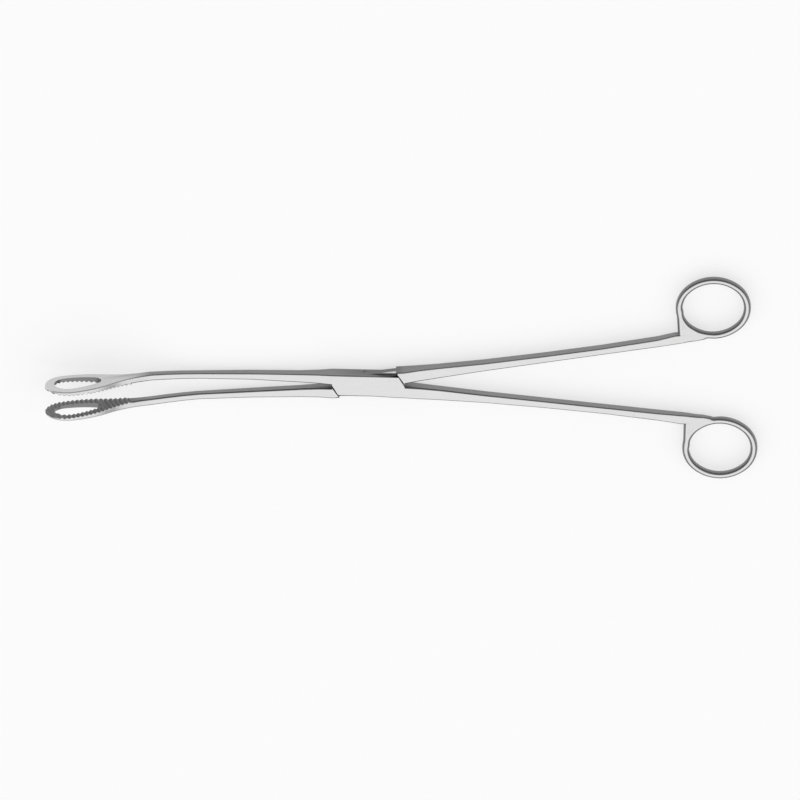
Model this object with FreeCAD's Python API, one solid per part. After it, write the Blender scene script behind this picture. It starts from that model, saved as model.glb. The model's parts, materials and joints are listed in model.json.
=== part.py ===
"""Uterine polyp forceps: two drop-forged halves joined by a riveted box lock.

Frame: millimetres, +Z up, origin on the pivot axis at the rear face of the lock box. The jaws lie
toward -X and curve toward +Z, the finger rings lie toward +X. Both halves are drawn with the jaws
closed, where their parting plane is Y = 0, and are then turned apart to the rest opening.
"""
import FreeCAD, Part
import math
import os

# Lock box and the slot through it
lock_thickness = 7.6
lock_half_height = 4.4
crotch_reach = 14.3
shoulder_reach = 11.5
crotch_clearance = 0.12
shoulder_clearance = 0.12
slot_width = 3.4
slot_side_clearance = 0.09
slot_wall_clearance = 0.12
lock_stop_angle = 50.0

# Pivot pin, riveted into both cheeks and ground flush
pin_radius = 1.6
pin_head_radius = 2.05
pin_head_depth = 0.55
pin_running_clearance = 0.06

# Rest opening between the two halves
rest_opening_angle = 4.6

# Jaw line, seen from the side
jaw_tip_reach = 127.0
jaw_line_dip = 1.2
dip_station = 45.0
bend_start = 59.0
bend_radius = 109.0
bend_angle = 16.0

# Fenestrated jaw loop, measured back from its tip
loop_length = 41.0
loop_width = 17.6
window_start = 3.6
window_length = 19.0
window_width = 10.8
window_rear_radius = 3.1
jaw_tip_thickness = 1.1
jaw_heel_thickness = 3.0
jaw_heel_depth = 2.65
jaw_heel_straight = 2.0

# Cross serrations on the gripping face
serrated_length = 34.0
tooth_pitch = 1.8
tooth_flat = 0.2
tooth_depth = 0.5
tooth_mesh_clearance = 0.15

# Jaw shank: width is across the opening, thickness is along the pin
jaw_shank_slim_station = 67.0
jaw_shank_slim_bow = 0.45
jaw_shank_slim_width = 2.45
jaw_shank_slim_thickness = 3.8
jaw_shank_middle_station = 46.0
jaw_shank_middle_bow = 0.55
jaw_shank_middle_width = 2.8
jaw_shank_middle_thickness = 4.4
jaw_shank_neck_station = 19.5
jaw_shank_neck_bow = 0.18
jaw_shank_neck_width = 3.95
jaw_shank_neck_thickness = 5.9
jaw_shank_root_station = 27.0
jaw_shank_root_bow = 0.25
jaw_shank_root_width = 3.6
jaw_shank_root_thickness = 4.9

# Handle shank: inner is the distance of its inner edge from the parting plane
flare_start = 2.0
flare_end = 12.0
box_flare_half_height = 4.85
tongue_flare_half_height = 5.05
handle_neck_station = 20.0
handle_neck_inner = 0.63
handle_neck_width = 4.75
handle_neck_thickness = 6.2
handle_root_station = 28.0
handle_root_inner = 1.35
handle_root_width = 4.4
handle_root_thickness = 5.4
handle_waist_station = 46.0
handle_waist_inner = 3.2
handle_waist_width = 3.4
handle_waist_thickness = 5.15
handle_mid_station = 70.0
handle_mid_inner = 5.35
handle_mid_width = 2.95
handle_mid_thickness = 4.9
handle_late_station = 93.0
handle_late_inner = 7.45
handle_late_width = 2.8
handle_late_thickness = 4.85
handle_end_station = 115.0
handle_end_inner = 9.4
handle_end_width = 3.3
handle_end_thickness = 4.8
handle_notch_setback = 15.5
handle_notch_inner = 10.05
handle_notch_width = 3.95
handle_notch_thickness = 4.4

# Finger ring and the web that braces it: the box half's handle is the longer one
tongue_ring_centre_x = 137.2
box_ring_centre_x = 138.9
ring_centre_y = 24.1
ring_half_length = 13.45
ring_half_height = 11.6
ring_end_radius = 10.5
ring_section_width = 2.9
ring_section_depth = 3.8
ring_section_sides = 14
merge_setback = 3.5
merge_width = 2.8
merge_thickness = 3.2
web_thickness = 3.3
leg_inset = 0.35

# Rounding of the long edges, and straight runs of shank round the bend
edge_round = 0.7
bend_steps = 3

mid_plane = lock_thickness / 2.0
margin = 6.0
ring_near_edge = ring_centre_y - ring_half_height
tooth_crest = -(tooth_depth - tooth_mesh_clearance) / 2.0
tooth_valley = tooth_crest + tooth_depth
stop_reach = lock_half_height * math.tan(math.radians(lock_stop_angle / 2.0))
bend_turn = math.radians(bend_angle)
bend_length = bend_radius * bend_turn
bend_drop_x = bend_radius * math.sin(bend_turn)
jaw_line_length = (bend_start + bend_length
                   + (jaw_tip_reach - bend_start - bend_drop_x) / math.cos(bend_turn))
jaw_back_slope = math.degrees(math.atan((jaw_heel_thickness - jaw_tip_thickness) / loop_length))


def vector(x, y, z):
    """Return a point in the object's frame."""
    return FreeCAD.Vector(x, y, z)


def line(start, end):
    """Return a straight edge."""
    return Part.LineSegment(start, end).toShape()


def flat_face(edges):
    """Return the face inside a closed run of edges."""
    return Part.Face(Part.Wire(edges))


def polygon_prism(points, low, high):
    """Return a prism between two heights over an outline of (x, y) points."""
    corners = [vector(x, y, low) for x, y in points]
    face = Part.Face(Part.makePolygon(corners + corners[:1]))
    return face.extrude(vector(0, 0, high - low))


def jaw_line(station):
    """Return (x, z, slope angle) of the curved jaw line at a distance along it from the pin."""
    low = mid_plane - jaw_line_dip
    if station <= bend_start:
        share = min(station / dip_station, 1.0)
        return -station, mid_plane - jaw_line_dip * share * share, 0.0
    if station <= bend_start + bend_length:
        angle = (station - bend_start) / bend_radius
        x = -bend_start - bend_radius * math.sin(angle)
        return x, low + bend_radius * (1.0 - math.cos(angle)), angle
    rest = station - bend_start - bend_length
    x = -bend_start - bend_drop_x - rest * math.cos(bend_turn)
    z = low + bend_radius * (1.0 - math.cos(bend_turn)) + rest * math.sin(bend_turn)
    return x, z, bend_turn


def arc_edge(centre, across, up, radius, start, sweep):
    """Return a circular edge in the plane of two directions that are square to each other."""
    points = []
    for share in (0.0, 0.5, 1.0):
        turn = math.radians(start + sweep * share)
        points.append(centre + across * (radius * math.cos(turn)) + up * (radius * math.sin(turn)))
    return Part.Arc(*points).toShape()


def section(place, across, up, low, high, thickness):
    """Return the rounded outline of a shank: low to high across it, and as thick as given."""
    half = thickness / 2.0 - edge_round
    corners = [
        (high - edge_round, half),
        (low + edge_round, half),
        (low + edge_round, -half),
        (high - edge_round, -half),
    ]
    arcs = []
    for quarter, (over, offset) in enumerate(corners):
        centre = place + across * over + up * offset
        arcs.append(arc_edge(centre, across, up, edge_round, 90.0 * quarter, 90.0))
    edges = []
    for index, arc in enumerate(arcs):
        following = arcs[(index + 1) % len(arcs)]
        edges.append(arc)
        edges.append(line(arc.valueAt(arc.LastParameter), following.valueAt(following.FirstParameter)))
    return Part.Wire(edges)


def jaw_place():
    """Return the placement of the jaw's flat coordinates.

    In flat coordinates x runs back from the tip along the jaw line, y runs down across the jaw
    and z is the distance from the parting plane.
    """
    x, z, slope = jaw_line(jaw_line_length)
    lean = FreeCAD.Rotation(vector(0, 1, 0), math.degrees(slope))
    lay = FreeCAD.Rotation(vector(1, 0, 0), -90.0)
    return FreeCAD.Placement(vector(x, 0, z), lean.multiply(lay))


def plate_place():
    """Return the placement of the jaw plate in flat coordinates, leaning so that it thickens."""
    lean = FreeCAD.Rotation(vector(0, 1, 0), -jaw_back_slope)
    return FreeCAD.Placement(vector(0, 0, jaw_tip_thickness), lean)


def loft(wires):
    """Return the solid that runs straight from each outline to the next."""
    return Part.makeLoft(wires, True, True)


def jaw_shank():
    """Return the curved shank between the lock and the heel of the jaw plate."""
    rows = [
        (crotch_reach, crotch_clearance, lock_half_height, lock_thickness),
        (jaw_shank_neck_station, jaw_shank_neck_bow,
         jaw_shank_neck_bow + jaw_shank_neck_width, jaw_shank_neck_thickness),
        (jaw_shank_root_station, jaw_shank_root_bow,
         jaw_shank_root_bow + jaw_shank_root_width, jaw_shank_root_thickness),
        (jaw_shank_middle_station, jaw_shank_middle_bow,
         jaw_shank_middle_bow + jaw_shank_middle_width, jaw_shank_middle_thickness),
        (jaw_shank_slim_station, jaw_shank_slim_bow,
         jaw_shank_slim_bow + jaw_shank_slim_width, jaw_shank_slim_thickness),
    ]
    heel_station = jaw_line_length - loop_length - jaw_heel_straight
    heel_back = jaw_tip_thickness + (jaw_heel_thickness - jaw_tip_thickness) * (
        1.0 + jaw_heel_straight / loop_length)
    heel_row = (heel_station, heel_back - jaw_heel_depth, heel_back, jaw_shank_slim_thickness)
    slim_row = rows[-1]
    for step in range(1, bend_steps):
        share = step / bend_steps
        rows.append(tuple(a + (b - a) * share for a, b in zip(slim_row, heel_row)))
    across = vector(0, 1, 0)
    wires = []
    for station, low, high, thickness in rows:
        x, z, slope = jaw_line(station)
        if not wires:
            z = mid_plane
        up = vector(math.sin(slope), 0, math.cos(slope))
        wires.append(section(vector(x, 0, z), across, up, low, high, thickness))
    heel = section(vector(loop_length + jaw_heel_straight, 0, 0), vector(0, 0, 1), vector(0, -1, 0),
                   -jaw_heel_depth, 0.0, jaw_shank_slim_thickness)
    heel.Placement = jaw_place().multiply(plate_place())
    return loft(wires + [heel])


def handle_shank(ring_x, flare_half_height):
    """Return the shank between the lock and the finger ring."""
    rows = [
        (crotch_reach, crotch_clearance, flare_half_height - crotch_clearance, lock_thickness),
        (handle_neck_station, handle_neck_inner, handle_neck_width, handle_neck_thickness),
        (handle_root_station, handle_root_inner, handle_root_width, handle_root_thickness),
        (handle_waist_station, handle_waist_inner, handle_waist_width, handle_waist_thickness),
        (handle_mid_station, handle_mid_inner, handle_mid_width, handle_mid_thickness),
        (handle_late_station, handle_late_inner, handle_late_width, handle_late_thickness),
        (handle_end_station, handle_end_inner, handle_end_width, handle_end_thickness),
        (ring_x - handle_notch_setback, handle_notch_inner, handle_notch_width,
         handle_notch_thickness),
        (ring_x - merge_setback, ring_near_edge - merge_width / 2.0, merge_width, merge_thickness),
    ]
    across = vector(0, 1, 0)
    up = vector(0, 0, 1)
    wires = []
    for x, inner, width, thickness in rows:
        wires.append(section(vector(x, 0, mid_plane), across, up, -inner - width, -inner, thickness))
    return loft(wires)


def lock_block(flare_half_height):
    """Return the block of the lock, jaw side up at the left, with its long edges rounded."""
    outline = [
        (-crotch_reach, crotch_clearance),
        (-shoulder_reach, -lock_half_height),
        (flare_start, -lock_half_height),
        (flare_end, -flare_half_height),
        (crotch_reach, -flare_half_height),
        (crotch_reach, -crotch_clearance),
        (shoulder_reach, lock_half_height),
        (-crotch_reach, lock_half_height),
    ]
    block = polygon_prism(outline, 0.0, lock_thickness)
    return block.makeFillet(edge_round, long_edges(block))


def flat_arc(x, y, radius, start, sweep):
    """Return a circular edge in the flat of the jaw."""
    return arc_edge(vector(x, y, 0), vector(1, 0, 0), vector(0, 1, 0), radius, start, sweep)


def loop_outline():
    """Return the edges round the jaw plate: a round front, then a waist down to the shank."""
    half = loop_width / 2.0
    slim = jaw_shank_slim_thickness / 2.0
    taper = loop_length - half
    drop = half - slim
    swing = (taper ** 2 + drop ** 2) / (4.0 * drop)
    turn = math.degrees(math.asin(taper / (2.0 * swing)))
    rear_x = loop_length + jaw_heel_straight
    heel = [vector(loop_length, slim, 0), vector(rear_x, slim, 0),
            vector(rear_x, -slim, 0), vector(loop_length, -slim, 0)]
    return [
        flat_arc(half, 0.0, half, 270.0, -180.0),
        flat_arc(half, half - swing, swing, 90.0, -turn),
        flat_arc(loop_length, slim + swing, swing, 270.0 - turn, turn),
        line(heel[0], heel[1]),
        line(heel[1], heel[2]),
        line(heel[2], heel[3]),
        flat_arc(loop_length, -slim - swing, swing, 90.0, turn),
        flat_arc(half, swing - half, swing, 270.0 + turn, -turn),
    ]


def window_outline():
    """Return the edges round the egg-shaped window of the jaw plate."""
    front = window_width / 2.0
    rear = window_rear_radius
    front_x = window_start + front
    rear_x = window_start + window_length - rear
    apart = rear_x - front_x
    side = (apart ** 2 + front ** 2 - rear ** 2) / (2.0 * (front - rear))
    drop = side - front
    turn = math.degrees(math.atan2(apart, drop))
    return [
        flat_arc(front_x, 0.0, front, 270.0, -180.0),
        flat_arc(front_x, -drop, side, 90.0, -turn),
        flat_arc(rear_x, 0.0, rear, 90.0 - turn, 2.0 * turn - 180.0),
        flat_arc(front_x, drop, side, turn - 90.0, -turn),
    ]


def serration_cutters(shift):
    """Return the row of V prisms that cut the teeth, moved along the jaw by a shift."""
    count = int(math.ceil(serrated_length / tooth_pitch)) + 1
    half_mouth = (tooth_pitch - tooth_flat) / 2.0
    cutters = []
    for index in range(-1, count):
        centre = serrated_length - half_mouth - index * tooth_pitch - shift
        corners = [
            vector(centre + half_mouth, -loop_width, tooth_crest),
            vector(centre, -loop_width, tooth_valley),
            vector(centre - half_mouth, -loop_width, tooth_crest),
            vector(centre, -loop_width, tooth_crest - tooth_depth),
        ]
        face = Part.Face(Part.makePolygon(corners + corners[:1]))
        cutters.append(face.extrude(vector(0, 2.0 * loop_width, 0)))
    return cutters


def is_rounded_edge(edge):
    """Return whether an edge of the jaw plate blank is rounded: all but its end and corners."""
    box = edge.BoundBox
    across_end = box.XMin > loop_length + jaw_heel_straight / 2.0
    return box.ZLength < edge_round and not across_end


def jaw(shift):
    """Return the fenestrated jaw plate with a rounded back and its serrated gripping face."""
    size = 2.0 * loop_length
    plate = flat_face(loop_outline()).extrude(vector(0, 0, -size))
    relief = Part.makeBox(size, size, size,
                          vector(serrated_length, -loop_length, -jaw_heel_depth - size))
    plate = plate.cut(relief)
    rims = [edge for edge in plate.Edges
            if is_rounded_edge(edge) and edge.BoundBox.ZMin > -jaw_heel_depth - edge_round]
    plate = plate.makeFillet(edge_round, rims)
    window = flat_face(window_outline()).extrude(vector(0, 0, -size))
    plate = plate.cut(window)
    plate.Placement = plate_place()
    behind_crests = Part.makeBox(2.0 * size, 2.0 * size, size, vector(-size, -size, tooth_crest))
    plate = plate.common(behind_crests).cut(serration_cutters(shift))
    plate.Placement = jaw_place().multiply(plate.Placement)
    return plate


def long_edges(solid):
    """Return the edges of a solid that run along the instrument."""
    chosen = []
    for edge in solid.Edges:
        middle = (edge.FirstParameter + edge.LastParameter) / 2.0
        if abs(edge.tangentAt(middle).x) > 0.8:
            chosen.append(edge)
    return chosen


def oval_arcs(half_length, half_height, end_radius):
    """Return (centre x, centre y, radius, start, sweep) of each arc of an oval of four arcs."""
    along = half_length - end_radius
    side_radius = ((along ** 2 + half_height ** 2 - end_radius ** 2)
                   / (2.0 * (half_height - end_radius)))
    drop = side_radius - half_height
    split = math.degrees(math.atan2(drop, along))
    return [
        (along, 0.0, end_radius, -split, 2.0 * split),
        (0.0, -drop, side_radius, split, 180.0 - 2.0 * split),
        (-along, 0.0, end_radius, 180.0 - split, 2.0 * split),
        (0.0, drop, side_radius, 180.0 + split, 180.0 - 2.0 * split),
    ]


def ring_arcs():
    """Return the four arcs of the finger ring's centre line."""
    return oval_arcs(ring_half_length, ring_half_height, ring_end_radius)


def ring_section(middle, toward, up):
    """Return the face of the ring's section: many-sided, with its sides along an ellipse."""
    half_width = ring_section_width / 2.0
    half_depth = ring_section_depth / 2.0
    corners = []
    for side in range(ring_section_sides):
        turn = math.radians(360.0 * (side + 0.5) / ring_section_sides)
        out = half_width * math.cos(turn)
        high = half_depth * math.sin(turn)
        reach = math.hypot(out, high)
        corners.append(middle + toward * (out * half_width / reach) + up * (high * half_depth / reach))
    return Part.Face(Part.makePolygon(corners + corners[:1]))


def ring(ring_x):
    """Return the finger ring and the straight leg that drops from its rear to the shank."""
    up = vector(0, 0, 1)
    pieces = []
    for x, y, radius, start, sweep in ring_arcs():
        centre = vector(ring_x + x, y - ring_centre_y, mid_plane)
        toward = vector(math.cos(math.radians(start)), math.sin(math.radians(start)), 0)
        rim = ring_section(centre + toward * radius, toward, up)
        pieces.append(rim.revolve(centre, up, sweep))
    rear = vector(ring_x - ring_half_length + leg_inset, -ring_centre_y, mid_plane)
    leg = ring_section(rear, vector(-1, 0, 0), up).extrude(vector(0, ring_half_height, 0))
    return pieces[0].fuse(pieces[1:] + [leg])


def ring_centre_line_prism(ring_x):
    """Return the prism that fills the finger ring up to its centre line."""
    edges = []
    for x, y, radius, start, sweep in ring_arcs():
        centre = vector(ring_x + x, y - ring_centre_y, -margin)
        edges.append(arc_edge(centre, vector(1, 0, 0), vector(0, 1, 0), radius, start, sweep))
    return flat_face(edges).extrude(vector(0, 0, lock_thickness + 2.0 * margin))


def web(ring_x):
    """Return the flat web that fills the corner between the shank, the leg and the ring."""
    rear_x = ring_x - ring_half_length + leg_inset
    corners = [
        (rear_x, -ring_centre_y),
        (ring_x, -ring_centre_y),
        (ring_x, -ring_near_edge),
        (rear_x, -ring_near_edge),
    ]
    plate = polygon_prism(corners, mid_plane - web_thickness / 2.0, mid_plane + web_thickness / 2.0)
    return plate.cut(ring_centre_line_prism(ring_x))


def forging(ring_x, shift, flare_half_height):
    """Return one half before its lock is machined, jaw on the +Y side and handle on the -Y side."""
    block = lock_block(flare_half_height)
    return block.fuse([jaw_shank(), handle_shank(ring_x, flare_half_height),
                       jaw(shift), ring(ring_x), web(ring_x)])


def cheek_cutter(low, high):
    """Return the space that the box cheeks need in the other half, between two heights."""
    slope = (crotch_reach - shoulder_reach) / (lock_half_height + crotch_clearance)
    gap = shoulder_clearance
    reach = lock_half_height + margin
    far_x = shoulder_reach + gap - margin * slope
    corners = [
        (-crotch_reach - gap, crotch_clearance),
        (-far_x, -reach),
        (crotch_reach + gap, -reach),
        (crotch_reach + gap, -crotch_clearance),
        (far_x, reach),
        (-crotch_reach - gap, reach),
    ]
    return polygon_prism(corners, low, high)


def slot_wall(clearance):
    """Return the foot, top and slope of the slot's jaw side wall, moved into the slot."""
    wall_x = crotch_reach - stop_reach
    wall_y = lock_half_height - crotch_clearance
    length = math.hypot(wall_x, wall_y)
    shift_x = clearance * wall_y / length
    shift_y = clearance * wall_x / length
    foot = (-crotch_reach + shift_x, crotch_clearance - shift_y)
    top = (-stop_reach + shift_x, lock_half_height - shift_y)
    return foot, top, wall_y / wall_x


def both_ways(points):
    """Return an outline and its copy turned half a turn about the pin, as one closed outline."""
    return points + [(-x, -y) for x, y in points]


def slot_outline():
    """Return the outline of the slot through the box, open above and below."""
    foot, top, slope = slot_wall(0.0)
    reach = lock_half_height + margin
    return both_ways([foot, top, (top[0], reach), (crotch_reach + margin, reach)])


def wall_cutter():
    """Return the space that the jaw side wall of the slot needs in the tongue."""
    foot, top, slope = slot_wall(slot_wall_clearance)
    far_x = -crotch_reach - shoulder_clearance
    far_y = foot[1] + (far_x - foot[0]) * slope
    reach = lock_half_height + margin
    corners = [(far_x, far_y), top, (top[0], reach), (far_x, reach)]
    return polygon_prism(corners, mid_plane - slot_width, mid_plane + slot_width)


def pin_shape(extra):
    """Return the pin with its two flared ends, or the space for it, lengthened by an extra."""
    low = -extra
    high = lock_thickness + extra
    neck_low = pin_head_depth
    neck_high = lock_thickness - pin_head_depth
    profile = [(0, low), (pin_head_radius, low), (pin_head_radius, 0), (pin_radius, neck_low),
               (pin_radius, neck_high), (pin_head_radius, lock_thickness), (pin_head_radius, high),
               (0, high)]
    corners = [vector(r, 0, z) for r, z in dict.fromkeys(profile)]
    face = Part.Face(Part.makePolygon(corners + corners[:1]))
    return face.revolve(vector(0, 0, 0), vector(0, 0, 1), 360.0)


def box_half():
    """Return the half whose box is slotted through for the other half."""
    slot = polygon_prism(slot_outline(), mid_plane - slot_width / 2.0, mid_plane + slot_width / 2.0)
    bore = pin_shape(margin)
    blank = forging(box_ring_centre_x, 0.0, box_flare_half_height)
    return blank.cut(slot).cut(bore).Solids[0]


def tongue_half():
    """Return the half whose thin tongue passes through the box."""
    blank = forging(tongue_ring_centre_x, tooth_pitch / 2.0, tongue_flare_half_height)
    blank = blank.mirror(vector(0, 0, 0), vector(0, 1, 0))
    half_tongue = slot_width / 2.0 - slot_side_clearance
    rear_cheek = cheek_cutter(-margin, mid_plane - half_tongue)
    front_cheek = cheek_cutter(mid_plane + half_tongue, lock_thickness + margin)
    bore = Part.makeCylinder(pin_radius + pin_running_clearance, lock_thickness + 2.0 * margin,
                             vector(0, 0, -margin))
    tongue = blank.cut(rear_cheek).cut(front_cheek)
    tongue = tongue.cut(wall_cutter()).cut(turned(wall_cutter(), 180.0))
    return tongue.cut(bore).Solids[0]


def pivot_pin():
    """Return the rivet pin, flush with both cheeks."""
    return pin_shape(0.0)


def turned(shape, angle):
    """Return a shape turned about the pivot axis."""
    copy = shape.copy()
    copy.rotate(vector(0, 0, 0), vector(0, 0, 1), angle)
    return copy


def main():
    """Build each piece at the rest opening and write one file for each."""
    os.makedirs("parts", exist_ok=True)
    half_opening = rest_opening_angle / 2.0
    pieces = {
        "box_half": turned(box_half(), -half_opening),
        "tongue_half": turned(tongue_half(), half_opening),
        "pivot_pin": pivot_pin(),
    }
    for name, shape in pieces.items():
        print(name, "solids", len(shape.Solids), "valid", shape.isValid(),
              "volume", round(shape.Volume, 1), "faces", len(shape.Faces))
        shape.exportStep("parts/" + name + ".step")


main()
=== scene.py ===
"""Looks of the uterine polyp forceps: satin steel halves and their flush rivet pin on a pale table."""

import json
import logging
import math
from dataclasses import dataclass, field
from enum import Enum
from typing import Any

import bpy
from mathutils import Matrix, Vector

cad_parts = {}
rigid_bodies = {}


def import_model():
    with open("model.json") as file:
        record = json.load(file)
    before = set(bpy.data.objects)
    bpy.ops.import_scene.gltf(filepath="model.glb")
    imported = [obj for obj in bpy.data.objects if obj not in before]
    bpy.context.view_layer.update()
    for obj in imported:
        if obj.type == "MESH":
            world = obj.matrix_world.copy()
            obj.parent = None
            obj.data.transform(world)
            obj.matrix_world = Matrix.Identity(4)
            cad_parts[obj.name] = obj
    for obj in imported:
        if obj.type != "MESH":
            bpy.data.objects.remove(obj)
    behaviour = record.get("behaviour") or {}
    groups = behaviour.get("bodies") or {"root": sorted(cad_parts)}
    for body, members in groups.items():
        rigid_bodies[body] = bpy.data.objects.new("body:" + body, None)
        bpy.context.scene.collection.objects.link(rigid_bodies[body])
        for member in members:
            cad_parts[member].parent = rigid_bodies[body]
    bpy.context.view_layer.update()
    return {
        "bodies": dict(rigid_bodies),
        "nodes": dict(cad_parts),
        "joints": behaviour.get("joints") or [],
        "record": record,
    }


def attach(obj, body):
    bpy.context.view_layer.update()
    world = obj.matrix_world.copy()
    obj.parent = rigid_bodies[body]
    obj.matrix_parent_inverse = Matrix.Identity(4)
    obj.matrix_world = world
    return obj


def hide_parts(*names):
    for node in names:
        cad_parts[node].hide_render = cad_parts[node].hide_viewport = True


log = logging.getLogger("forceps")

MM = 0.001
# Name of the corner attribute that holds the share of painted light and shade.
PAINTED_LIGHT_SHARE = "painted_light_share"
NOISE_MEAN = 0.5


def ease(value: float, start: float, end: float) -> float:
    """Return a smooth step.

    Args:
        value: the value to step.
        start: where the step is still 0.
        end: where the step has reached 1, which may lie below the start.

    Returns:
        The step at the value, from 0 to 1.
    """
    share = min(1.0, max(0.0, (value - start) / (end - start)))
    return share * share * (3.0 - 2.0 * share)


class Brush(Enum):
    """The direction in which a steel face was brushed before it was blasted."""

    LENGTHWISE = "lengthwise"
    EVEN = "even"


class Wire:
    """A node socket that Python's operators turn into Math nodes."""

    def __init__(self, tree: bpy.types.NodeTree, socket: Any) -> None:
        """Keep the tree and the socket.

        Args:
            tree: the node tree that new Math nodes go into.
            socket: the output socket that the wire stands for.
        """
        self.tree = tree
        self.socket = socket

    def _math(self, operation: str, *values: Any, clamp: bool = False) -> "Wire":
        """Add a Math node.

        Args:
            operation: the Math node's operation.
            values: its inputs, as wires or numbers.
            clamp: whether the result stays between 0 and 1.

        Returns:
            The wire of the result.
        """
        node = self.tree.nodes.new("ShaderNodeMath")
        node.operation = operation
        node.use_clamp = clamp
        for index, value in enumerate(values):
            if isinstance(value, Wire):
                self.tree.links.new(value.socket, node.inputs[index])
            else:
                node.inputs[index].default_value = value
        return Wire(self.tree, node.outputs[0])

    def __add__(self, other: Any) -> "Wire":
        """Return the sum."""
        return self._math("ADD", self, other)

    __radd__ = __add__

    def __sub__(self, other: Any) -> "Wire":
        """Return the difference."""
        return self._math("SUBTRACT", self, other)

    def __rsub__(self, other: Any) -> "Wire":
        """Return a number less this wire."""
        return self._math("SUBTRACT", other, self)

    def __mul__(self, other: Any) -> "Wire":
        """Return the product."""
        return self._math("MULTIPLY", self, other)

    __rmul__ = __mul__

    def clamped(self) -> "Wire":
        """Return the value kept between 0 and 1."""
        return self._math("ADD", self, 0.0, clamp=True)

    def below(self, limit: float) -> "Wire":
        """Compare the value with a limit.

        Args:
            limit: the limit.

        Returns:
            The wire that is 1 where the value is below the limit, and 0 elsewhere.
        """
        return self._math("LESS_THAN", self, limit)


class Bench:
    """A node tree with one method that adds any node."""

    def __init__(self, tree: bpy.types.NodeTree) -> None:
        """Start with an empty tree.

        Args:
            tree: the node tree, which loses the nodes that it has.
        """
        self.tree = tree
        tree.nodes.clear()

    def add(self, kind: str, settings: dict[str, Any] | None = None,
            stops: list[tuple[float, float]] | None = None, values: tuple[Any, ...] = (),
            **inputs: Any) -> bpy.types.Node:
        """Add a node, its settings first and then its sockets.

        Args:
            kind: the node's type.
            settings: its own settings, such as a mode.
            stops: a colour ramp's (place, grey) stops.
            values: values or wires of the first sockets, in order.
            inputs: values or wires by socket name, with _ for a space.

        Returns:
            The new node.
        """
        node = self.tree.nodes.new(kind)
        for name, value in (settings or {}).items():
            setattr(node, name, value)
        if stops:
            ramp = node.color_ramp
            while len(ramp.elements) < len(stops):
                ramp.elements.new(0.5)
            for element, (place, grey) in zip(ramp.elements, stops):
                element.position = place
                element.color = (grey, grey, grey, 1.0)
        fills = [(node.inputs[index], value) for index, value in enumerate(values)]
        fills += [(node.inputs[name.replace("_", " ")], value) for name, value in inputs.items()]
        for socket, value in fills:
            if isinstance(value, Wire):
                self.tree.links.new(value.socket, socket)
            elif isinstance(value, bpy.types.NodeSocket):
                self.tree.links.new(value, socket)
            else:
                socket.default_value = value
        return node

    def wire(self, node: bpy.types.Node, output: str) -> Wire:
        """Take a named output of a node.

        Args:
            node: the node.
            output: the output's name.

        Returns:
            The output as a wire.
        """
        return Wire(self.tree, node.outputs[output])


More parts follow.
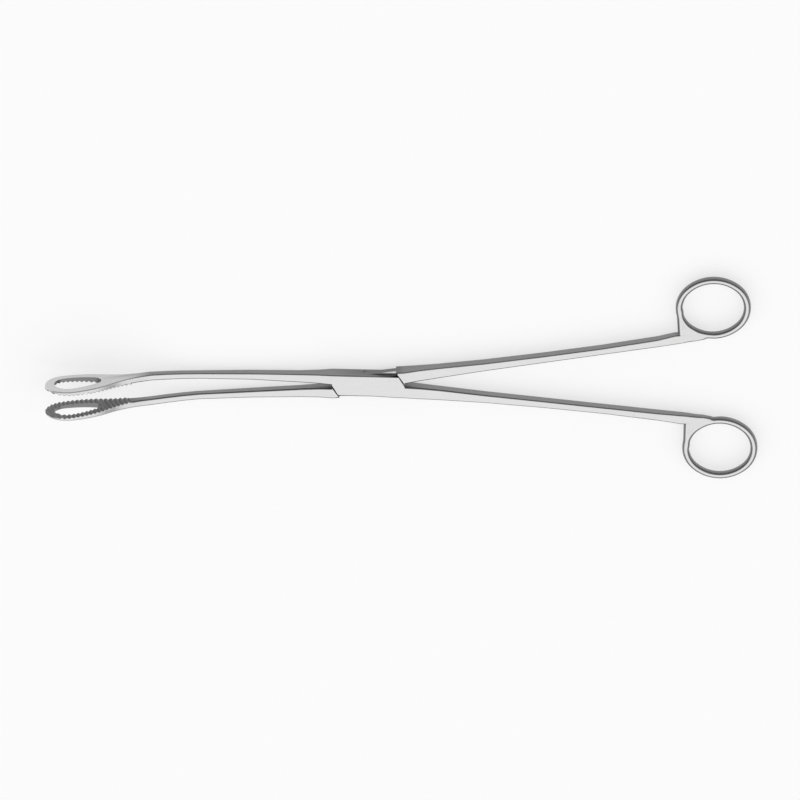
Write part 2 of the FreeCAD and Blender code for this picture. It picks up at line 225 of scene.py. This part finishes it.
@dataclass(frozen=True)
class SatinSteel:
    """Satin stainless steel: fine bead-blasted grain, painted light on the faces, painted shade on the
    flanks and in hollows, and brighter rubbed edges.
    """

    name: str
    grey: float = 0.62
    grey_spread: float = 0.05
    roughness: float = 0.27
    roughness_spread: float = 0.08
    bead_scale: float = 7000.0
    bead_fineness: float = 0.6
    bead_depth: float = 0.10
    bead_size: float = 0.01 * MM
    cloud_scale: float = 60.0
    cloud_detail: float = 3.0
    brush: Brush = Brush.LENGTHWISE
    brush_scale: float = 1500.0
    brush_stretch: float = 0.03
    brush_height: float = 0.5
    # Painted shade in hollows, creases and gaps, from ambient occlusion.
    hollow_reach: float = 1.0 * MM
    painted_hollow_grey: float = 0.25
    hollow_full: float = 0.45
    hollow_samples: int = 8
    edge_radius: float = 0.05 * MM
    edge_samples: int = 6
    edge_gather: float = 8.0
    edge_gain: float = 0.12
    edge_polish: float = 0.06
    # Painted shade on the flanks, as a share of the grey of the faces painted lit.
    flank_painted_shade: float = 0.36
    rivet_reach: float = 2.6 * MM
    rivet_flush: float = 0.75
    jaw_radius: float = 0.7 * MM
    jaw_samples: int = 8
    jaw_start: float = -84.0 * MM
    jaw_full: float = -94.0 * MM

    def noise(self, bench: Bench, place: Any, scale: float, detail: float = 2.0,
              fineness: float = 0.5) -> Wire:
        """Add a noise texture.

        Args:
            bench: the material's node tree.
            place: the coordinates that it is read at.
            scale: how many of its cells fit in a metre.
            detail: how many finer layers lie over it.
            fineness: how strong the finer layers are.

        Returns:
            The wire of the noise.
        """
        texture = bench.add("ShaderNodeTexNoise", Vector=place, Scale=scale, Detail=detail,
                            Roughness=fineness)
        return bench.wire(texture, "Fac")

    def hollows(self, bench: Bench) -> Wire:
        """Return how open a place is, for the shade painted into hollows, from 0 deep in a hollow to 1
        on a free face.

        Args:
            bench: the material's node tree.

        Returns:
            The wire of the openness.
        """
        shade = bench.add("ShaderNodeAmbientOcclusion", {"samples": self.hollow_samples},
                          Distance=self.hollow_reach)
        gain = 1.0 / (1.0 - self.hollow_full)
        return ((bench.wire(shade, "AO") - self.hollow_full) * gain).clamped()

    def edges(self, bench: Bench, rounded: Any) -> Wire:
        """Return where an edge is rubbed.

        Args:
            bench: the material's node tree.
            rounded: the normal output of the rounded edges.

        Returns:
            The wire of the wear, 0 on a face and 1 on an edge.
        """
        true_normal = bench.add("ShaderNodeNewGeometry").outputs["Normal"]
        match = bench.add("ShaderNodeVectorMath", {"operation": "DOT_PRODUCT"},
                          values=(rounded, true_normal))
        return ((1.0 - bench.wire(match, "Value")) * self.edge_gather).clamped()

    def soft_jaw(self, bench: Bench, place: Any, lit_share: Wire, rounded: Any) -> Any:
        """Round the back and rim of a jaw more than the other edges.

        Args:
            bench: the material's node tree.
            place: the object coordinates.
            lit_share: the share of painted light, low on the teeth, which are painted in shade, so
                that the teeth stay crisp.
            rounded: the normal output of the plain edges.

        Returns:
            The normal output of all the edges.
        """
        soft = bench.add("ShaderNodeBevel", {"samples": self.jaw_samples},
                         Radius=self.jaw_radius).outputs["Normal"]
        along = bench.wire(bench.add("ShaderNodeSeparateXYZ", values=(place,)), "X")
        jaw = ((along - self.jaw_start) * (1.0 / (self.jaw_full - self.jaw_start))).clamped()
        mix = bench.add("ShaderNodeMixRGB", Fac=(jaw * lit_share).clamped(), Color1=rounded, Color2=soft)
        return mix.outputs["Color"]

    def flush_rivet(self, bench: Bench, place: Any, rounded: Any) -> Any:
        """Leave the rims of the rivet, taken off flush with the box's face by grinding, almost without
        a round edge.

        Args:
            bench: the material's node tree.
            place: the object coordinates.
            rounded: the normal output of the edges.

        Returns:
            The normal output of all the edges.
        """
        parts = bench.add("ShaderNodeSeparateXYZ", values=(place,))
        along, across = bench.wire(parts, "X"), bench.wire(parts, "Y")
        near = (along * along + across * across).below(self.rivet_reach ** 2)
        true_normal = bench.add("ShaderNodeNewGeometry").outputs["Normal"]
        mix = bench.add("ShaderNodeMixRGB", Fac=near * self.rivet_flush, Color1=rounded,
                        Color2=true_normal)
        return mix.outputs["Color"]

    def material(self) -> bpy.types.Material:
        """Return the finished material."""
        material = bpy.data.materials.new(self.name)
        material.use_nodes = True
        bench = Bench(material.node_tree)
        place = bench.add("ShaderNodeTexCoord").outputs["Object"]
        bead = self.noise(bench, place, self.bead_scale, fineness=self.bead_fineness)
        cloud = self.noise(bench, place, self.cloud_scale, detail=self.cloud_detail)
        stretch = (self.brush_stretch, 1.0, 1.0) if self.brush is Brush.LENGTHWISE else (1.0, 1.0, 1.0)
        drawn = bench.add("ShaderNodeMapping", Vector=place, Scale=stretch).outputs["Vector"]
        brushed = self.noise(bench, drawn, self.brush_scale)
        rounded = bench.add("ShaderNodeBevel", {"samples": self.edge_samples},
                            Radius=self.edge_radius).outputs["Normal"]
        # Painted light and shade: the share stored on each corner, 1 on faces painted lit and 0 or
        # below where shade is painted.
        lit_share = bench.wire(bench.add("ShaderNodeAttribute", {"attribute_name": PAINTED_LIGHT_SHARE}), "Fac")
        rounded = self.soft_jaw(bench, place, lit_share, rounded)
        rounded = self.flush_rivet(bench, place, rounded)
        worn = self.edges(bench, rounded)
        # Painted shade: hollows, creases and gaps are darkened by their ambient occlusion.
        openness = self.hollows(bench)
        uneven = cloud + brushed - 2.0 * NOISE_MEAN
        # Painted light and shade: the faces that point up keep the full grey and the flanks take the
        # darker painted shade.
        steel = self.grey * (self.flank_painted_shade + (1.0 - self.flank_painted_shade) * lit_share)
        shaded = self.painted_hollow_grey + (1.0 - self.painted_hollow_grey) * openness
        tone = (steel + self.grey_spread * uneven + self.edge_gain * worn) * shaded
        rough = self.roughness + self.roughness_spread * uneven - self.edge_polish * worn
        bump = bench.add("ShaderNodeBump", Strength=self.bead_depth, Distance=self.bead_size,
                         Height=bead + brushed * self.brush_height, Normal=rounded)
        colour = bench.add("ShaderNodeCombineColor", Red=tone, Green=tone, Blue=tone)
        shader = bench.add("ShaderNodeBsdfPrincipled", Base_Color=colour.outputs["Color"],
                           Metallic=1.0, Roughness=rough, Normal=bump.outputs["Normal"])
        bench.add("ShaderNodeOutputMaterial", Surface=shader.outputs["BSDF"])
        return material


@dataclass
class Studio:
    """The pale table, the soft light over it and the camera."""

    floor_half_size: float = 3.0
    floor_grey: float = 0.93
    floor_roughness: float = 0.9
    white_share: float = 0.6
    sky_bright: float = 1.22
    sky_low: float = 0.36
    rim_grey: float = 0.95
    rim_height: float = 0.02
    sky_length: float = 0.35
    sky_edge: float = 0.80
    sky_full: float = 0.92
    lamp_strength: float = 0.35
    lamp_width: float = 50.0
    view_from_vertical: float = 22.0
    picture_turn: float = 0.9
    metres_per_pixel: float = 0.3933 * MM
    picture_width: float = 800.0
    pivot_pixel: tuple[float, float] = (368.3, 382.9)
    pivot_height: float = 3.8 * MM
    camera_distance: float = 1.2

    def floor(self) -> None:
        """Lay the table top that the forceps rest on."""
        bpy.ops.object.select_all(action="DESELECT")
        bpy.ops.mesh.primitive_plane_add(size=2.0 * self.floor_half_size, location=(0.0, 0.0, 0.0))
        floor = bpy.context.object
        floor.name = "table_top"
        material = bpy.data.materials.new("pale_table")
        material.use_nodes = True
        bench = Bench(material.node_tree)
        grey = self.floor_grey
        paper = bench.add("ShaderNodeBsdfPrincipled", Base_Color=(grey, grey, grey, 1.0),
                          Roughness=self.floor_roughness)
        glow = bench.add("ShaderNodeEmission", Color=(1.0, 1.0, 1.0, 1.0), Strength=1.0)
        ray = bench.add("ShaderNodeLightPath")
        seen = bench.wire(ray, "Is Camera Ray") + bench.wire(ray, "Is Glossy Ray")
        share = (seen + bench.wire(ray, "Is Transmission Ray")).clamped() * self.white_share
        shader = bench.add("ShaderNodeMixShader",
                           values=(share, paper.outputs["BSDF"], glow.outputs["Emission"]))
        bench.add("ShaderNodeOutputMaterial", Surface=shader.outputs["Shader"])
        floor.data.materials.append(material)

    def sky(self) -> None:
        """Put up the soft sky, bright over the front faces and dim behind, pale at the horizon."""
        world = bpy.data.worlds.new("soft_sky")
        bpy.context.scene.world = world
        world.use_nodes = True
        bench = Bench(world.node_tree)
        tilt = math.radians(self.view_from_vertical)
        direction = bench.add("ShaderNodeTexCoord").outputs["Generated"]
        flat = bench.add("ShaderNodeVectorMath", {"operation": "MULTIPLY"},
                         values=(direction, (self.sky_length, 1.0, 1.0)))
        across = bench.add("ShaderNodeVectorMath", {"operation": "NORMALIZE"},
                           values=(flat.outputs["Vector"],))
        facing = bench.add("ShaderNodeVectorMath", {"operation": "DOT_PRODUCT"},
                           values=(across.outputs["Vector"], (0.0, -math.sin(tilt), math.cos(tilt))))
        share = bench.wire(facing, "Value") * 0.5 + 0.5
        stops = [(0.0, self.sky_low), (self.sky_edge, self.sky_low), (self.sky_full, self.sky_bright),
                 (1.0, self.sky_bright)]
        ramp = bench.add("ShaderNodeValToRGB", stops=stops, Fac=share)
        ramp.color_ramp.interpolation = "EASE"
        height = bench.wire(bench.add("ShaderNodeSeparateXYZ", values=(direction,)), "Z")
        rim = height.below(self.rim_height)
        grey = bench.wire(ramp, "Color") * (1.0 - rim) + self.rim_grey * rim
        colour = bench.add("ShaderNodeCombineColor", Red=grey, Green=grey, Blue=grey)
        shader = bench.add("ShaderNodeBackground", Color=colour.outputs["Color"], Strength=1.0)
        bench.add("ShaderNodeOutputWorld", Surface=shader.outputs["Background"])

    def table_lamp(self) -> None:
        """Hang the wide lamp that lights the table and throws the soft shadow behind the bars."""
        data = bpy.data.lights.new("table_lamp", "SUN")
        data.energy = self.lamp_strength
        data.angle = math.radians(self.lamp_width)
        lamp = bpy.data.objects.new("table_lamp", data)
        bpy.context.scene.collection.objects.link(lamp)
        lamp.visible_glossy = False

    def camera(self) -> None:
        """Set up the long lens camera, with the pivot on its place in the picture."""
        tilt = math.radians(self.view_from_vertical)
        turn = math.radians(self.picture_turn)
        level = Vector((1.0, 0.0, 0.0))
        upright = Vector((0.0, math.cos(tilt), -math.sin(tilt)))
        back = Vector((0.0, math.sin(tilt), math.cos(tilt)))
        right = level * math.cos(turn) - upright * math.sin(turn)
        up = level * math.sin(turn) + upright * math.cos(turn)
        middle = self.picture_width / 2.0
        across = (middle - self.pivot_pixel[0]) * self.metres_per_pixel
        down = (middle - self.pivot_pixel[1]) * self.metres_per_pixel
        centre = Vector((0.0, 0.0, self.pivot_height)) + right * across - up * down
        data = bpy.data.cameras.new("camera")
        data.type = "ORTHO"
        data.ortho_scale = self.picture_width * self.metres_per_pixel
        camera = bpy.data.objects.new("camera", data)
        bpy.context.scene.collection.objects.link(camera)
        axes = Matrix((right, up, back)).transposed().to_4x4()
        camera.matrix_world = Matrix.Translation(centre + back * self.camera_distance) @ axes
        bpy.context.scene.camera = camera


def pick(piece: bpy.types.Object) -> None:
    """Select one piece alone and make it active.

    Args:
        piece: the piece.
    """
    bpy.ops.object.select_all(action="DESELECT")
    bpy.context.view_layer.objects.active = piece
    piece.select_set(True)


def keep_beyond(piece: bpy.types.Object, place: float, low_side: bool) -> None:
    """Cut a piece square across X and keep one side, open at the cut.

    Args:
        piece: the piece to cut.
        place: where the cut lies on X.
        low_side: whether the side below the cut is kept.
    """
    pick(piece)
    bpy.ops.object.mode_set(mode="EDIT")
    bpy.ops.mesh.select_all(action="SELECT")
    bpy.ops.mesh.bisect(plane_co=(place, 0.0, 0.0), plane_no=(1.0, 0.0, 0.0),
                        clear_outer=low_side, clear_inner=not low_side)
    bpy.ops.object.mode_set(mode="OBJECT")


@dataclass
class SteelPiece:
    """One forged or turned steel piece: its CAD shape, smoothed and finished."""

    node_name: str
    piece_name: str
    body: str
    slot: str
    finish: SatinSteel
    weld_distance: float = 0.002 * MM
    sliver_width: float = 0.002 * MM
    flat_angle: float = 0.05
    crease_angle: float = 28.0
    flank_tilt: float = 0.78
    face_tilt: float = 0.985

    def painted_light_share(self, place: Vector, normal: Vector) -> float:
        """Return the share of painted light at a spot: faces that point up are painted lit and flanks
        are painted in shade, which also paints a bright line along the middle of a round ring.

        Args:
            place: where the spot is.
            normal: the way its surface faces.

        Returns:
            1 on faces painted lit and 0 on flanks painted in shade.
        """
        return ease(abs(normal.z), self.flank_tilt, self.face_tilt)

    def mark_painted_light(self, piece: bpy.types.Object) -> None:
        """Store the painted light share on every face corner.

        Args:
            piece: the welded and smoothed piece.
        """
        mesh = piece.data
        marks = mesh.attributes.new(PAINTED_LIGHT_SHARE, "FLOAT", "CORNER")
        for loop, corner in zip(mesh.loops, mesh.corner_normals):
            spot = mesh.vertices[loop.vertex_index].co
            marks.data[loop.index].value = self.painted_light_share(spot, corner.vector)

    def welded_copy(self, node: bpy.types.Object) -> bpy.types.Object:
        """Copy a node as the piece, merge its loose triangles and take out slivers on flat faces.

        Args:
            node: the CAD node.

        Returns:
            The piece.
        """
        piece = bpy.data.objects.new(self.piece_name, node.data.copy())
        bpy.context.scene.collection.objects.link(piece)
        pick(piece)
        bpy.ops.object.mode_set(mode="EDIT")
        bpy.ops.mesh.select_all(action="SELECT")
        bpy.ops.mesh.remove_doubles(threshold=self.weld_distance)
        bpy.ops.mesh.dissolve_degenerate(threshold=self.sliver_width)
        bpy.ops.mesh.dissolve_limited(angle_limit=math.radians(self.flat_angle))
        bpy.ops.object.mode_set(mode="OBJECT")
        return piece

    def blend(self, piece: bpy.types.Object) -> None:
        """Leave a turned piece as it is; the forged halves blend their ring ends here.

        Args:
            piece: the welded piece.
        """

    def build(self, frame: dict[str, Any]) -> bpy.types.Object:
        """Make the piece from its node.

        Args:
            frame: the loaded frame.

        Returns:
            The finished piece.
        """
        piece = self.welded_copy(frame["nodes"][self.node_name])
        self.blend(piece)
        pick(piece)
        bpy.ops.object.shade_smooth_by_angle(angle=math.radians(self.crease_angle))
        weigh = piece.modifiers.new("face_weight", "WEIGHTED_NORMAL")
        weigh.keep_sharp = True
        bpy.ops.object.modifier_apply(modifier=weigh.name)
        self.mark_painted_light(piece)
        piece.data.materials.clear()
        piece.data.materials.append(self.finish.material())
        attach(piece, self.body)
        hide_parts(self.node_name)
        log.info("made %s: %d faces", self.piece_name, len(piece.data.polygons))
        return piece


@dataclass
class ForcepsHalf(SteelPiece):
    """A forged half with its fenestrated, serrated jaw at the low end of X."""

    jaw_back: float = 1.0
    blend_spots: tuple[tuple[float, float], ...] = ()
    blend_start: float = 104.0 * MM
    blend_spare: float = 4.0 * MM
    joint_width: float = 0.4 * MM
    blend_reach: float = 4.0 * MM
    blend_core: float = 0.3
    skin_cell: float = 0.2 * MM
    light_turns: int = 6
    full_turns: int = 90
    turn_step: float = 0.5
    jaw_start: float = -84.0 * MM
    jaw_full: float = -96.0 * MM
    window_front: tuple[float, float] = (-119.0 * MM, 14.6 * MM)
    window_rear: tuple[float, float] = (-108.0 * MM, 12.8 * MM)
    lock_start: float = -14.0 * MM
    lock_end: float = 14.0 * MM
    wall_tilt: float = 0.6
    # Painted shade on the lock's side walls, the teeth and the window's walls, as painted light shares
    # below 0.
    lock_painted_shade: float = -0.2
    teeth_painted_shade: float = -0.25
    window_painted_shade: float = -0.05

    def blend(self, piece: bpy.types.Object) -> None:
        """Run the ring, its web and the handle's end into each other, as a forging does.

        Args:
            piece: the welded half, which keeps its place and length.
        """
        ring = bpy.data.objects.new("ring_end", piece.data.copy())
        bpy.context.scene.collection.objects.link(ring)
        keep_beyond(piece, self.blend_start, low_side=True)
        pick(ring)
        bpy.ops.object.mode_set(mode="EDIT")
        bpy.ops.mesh.select_all(action="SELECT")
        bpy.ops.mesh.bisect(plane_co=(self.blend_start - self.blend_spare, 0.0, 0.0),
                            plane_no=(1.0, 0.0, 0.0), use_fill=True, clear_inner=True)
        bpy.ops.object.mode_set(mode="OBJECT")
        skin = ring.modifiers.new("even_skin", "REMESH")
        skin.mode = "VOXEL"
        skin.voxel_size = self.skin_cell
        bpy.ops.object.modifier_apply(modifier=skin.name)
        steps = ring.vertex_groups.new(name="steps")
        for vertex in ring.data.vertices:
            near = max(self.nearness(vertex.co, spot) for spot in self.blend_spots)
            if near > 0.0:
                steps.add([vertex.index], near, "ADD")
        rounds = (("all_over", self.light_turns, ""), ("at_steps", self.full_turns, steps.name))
        for name, turns, group in rounds:
            soften = ring.modifiers.new(name, "SMOOTH")
            soften.factor = self.turn_step
            soften.iterations = turns
            soften.vertex_group = group
            bpy.ops.object.modifier_apply(modifier=soften.name)
        keep_beyond(ring, self.blend_start + self.joint_width, low_side=False)
        pick(piece)
        ring.select_set(True)
        bpy.ops.object.join()
        bpy.ops.object.mode_set(mode="EDIT")
        bpy.ops.mesh.select_all(action="DESELECT")
        bpy.ops.mesh.select_non_manifold()
        bpy.ops.mesh.bridge_edge_loops()
        bpy.ops.object.mode_set(mode="OBJECT")

    def nearness(self, place: Vector, spot: tuple[float, float]) -> float:
        """Measure how near a place is to a spot on the plan.

        Args:
            place: the place.
            spot: the spot's X and Y.

        Returns:
            The nearness, from 0 out of reach to 1 close by.
        """
        away = math.hypot(place.x - spot[0], place.y - spot[1])
        return ease(away, self.blend_reach, self.blend_core * self.blend_reach)

    def faces_window(self, place: Vector, normal: Vector) -> bool:
        """Tell the window's walls from the outer ones.

        Args:
            place: where the spot is.
            normal: the way its surface faces.

        Returns:
            Whether the surface faces the middle line of the jaw's window.
        """
        front = Vector((self.window_front[0], 0.0, self.window_front[1]))
        rear = Vector((self.window_rear[0], 0.0, self.window_rear[1]))
        along = rear - front
        share = min(1.0, max(0.0, (place - front).dot(along) / along.dot(along)))
        inward = front + along * share - place
        inward.y = 0.0
        return inward.dot(normal) > 0.0

    def painted_light_share(self, place: Vector, normal: Vector) -> float:
        """Return the share of painted light at a spot, with the jaw's back and rim painted lit like
        the faces.

        Args:
            place: where the spot is.
            normal: the way its surface faces.

        Returns:
            1 on faces painted lit, 0 on flanks, and below 0 where shade is painted on the lock's
            walls, in the window and on the teeth.
        """
        shank = super().painted_light_share(place, normal)
        # Painted shade on the lock's side walls.
        if abs(normal.y) > self.wall_tilt and self.lock_start < place.x < self.lock_end:
            shank = self.lock_painted_shade
        outward = normal.y * self.jaw_back
        # Painted shade on the teeth and on the window's walls; the jaw's back and rim are painted lit.
        if outward < -self.wall_tilt:
            jaw = self.teeth_painted_shade
        elif outward > self.wall_tilt or not self.faces_window(place, normal):
            jaw = 1.0
        else:
            jaw = self.window_painted_shade
        blend = ease(place.x, self.jaw_start, self.jaw_full)
        return shank + (jaw - shank) * blend


@dataclass
class RivetPin(SteelPiece):
    """The rivet pin, whose swaged ends fill the mouths of their holes and are taken off flush there by
    grinding.
    """

    sides: int = 72
    end_radius: float = 2.06 * MM
    neck_radius: float = 1.6 * MM
    flare: float = 0.55 * MM
    length: float = 7.6 * MM
    proud: float = 0.003 * MM

    def welded_copy(self, node: bpy.types.Object) -> bpy.types.Object:
        """Turn the pin anew, finely enough for its ends, taken off flush by grinding, over its node.

        Args:
            node: the CAD node, whose place and size it keeps.

        Returns:
            The pin.
        """
        low = min(vertex.co.z for vertex in node.data.vertices) - self.proud
        length = self.length + 2.0 * self.proud
        bpy.ops.object.select_all(action="DESELECT")
        bpy.ops.mesh.primitive_circle_add(vertices=self.sides, radius=self.end_radius,
                                          fill_type="NGON", location=(0.0, 0.0, low))
        pin = bpy.context.object
        pin.name = self.piece_name
        bpy.ops.object.transform_apply(location=True, rotation=False, scale=False)
        bpy.ops.object.mode_set(mode="EDIT")
        bpy.ops.mesh.select_all(action="SELECT")
        narrow = self.neck_radius / self.end_radius
        steps = ((self.flare, narrow), (length - 2.0 * self.flare, 1.0), (self.flare, 1.0 / narrow))
        for rise, scale in steps:
            bpy.ops.mesh.extrude_region_move(TRANSFORM_OT_translate={"value": (0.0, 0.0, rise)})
            bpy.ops.transform.resize(value=(scale, scale, 1.0), center_override=(0.0, 0.0, 0.0))
        bpy.ops.mesh.select_all(action="SELECT")
        bpy.ops.mesh.normals_make_consistent(inside=False)
        bpy.ops.object.mode_set(mode="OBJECT")
        return pin


@dataclass
class Forceps:
    """The two forged halves and the flush rivet pin."""

    pieces: list[SteelPiece] = field(default_factory=lambda: [
        ForcepsHalf("box_half", "box_forging", "box_side", "satin_steel",
                    SatinSteel("satin_box_half"), jaw_back=1.0,
                    blend_spots=((125.5 * MM, -28.6 * MM), (135.1 * MM, -16.8 * MM),
                                 (128.2 * MM, -18.1 * MM))),
        ForcepsHalf("tongue_half", "tongue_forging", "tongue_side", "satin_steel",
                    SatinSteel("satin_tongue_half"), jaw_back=-1.0,
                    blend_spots=((123.8 * MM, 28.6 * MM), (133.4 * MM, 16.7 * MM),
                                 (126.5 * MM, 18.1 * MM))),
        RivetPin("pivot_pin", "rivet_pin", "box_side", "pin_steel",
                 SatinSteel("ground_rivet", brush=Brush.EVEN, painted_hollow_grey=1.0, edge_gain=0.0)),
    ])

    def build(self, frame: dict[str, Any]) -> None:
        """Make every piece.

        Args:
            frame: the loaded frame.
        """
        for piece in self.pieces:
            piece.build(frame)


def main() -> None:
    """Build the scene in order."""
    logging.basicConfig(level=logging.INFO)
    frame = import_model()
    scene = bpy.context.scene
    scene.view_settings.view_transform = "Standard"
    studio = Studio()
    studio.camera()
    studio.floor()
    studio.sky()
    studio.table_lamp()
    Forceps().build(frame)


if __name__ == "__main__":
    main()
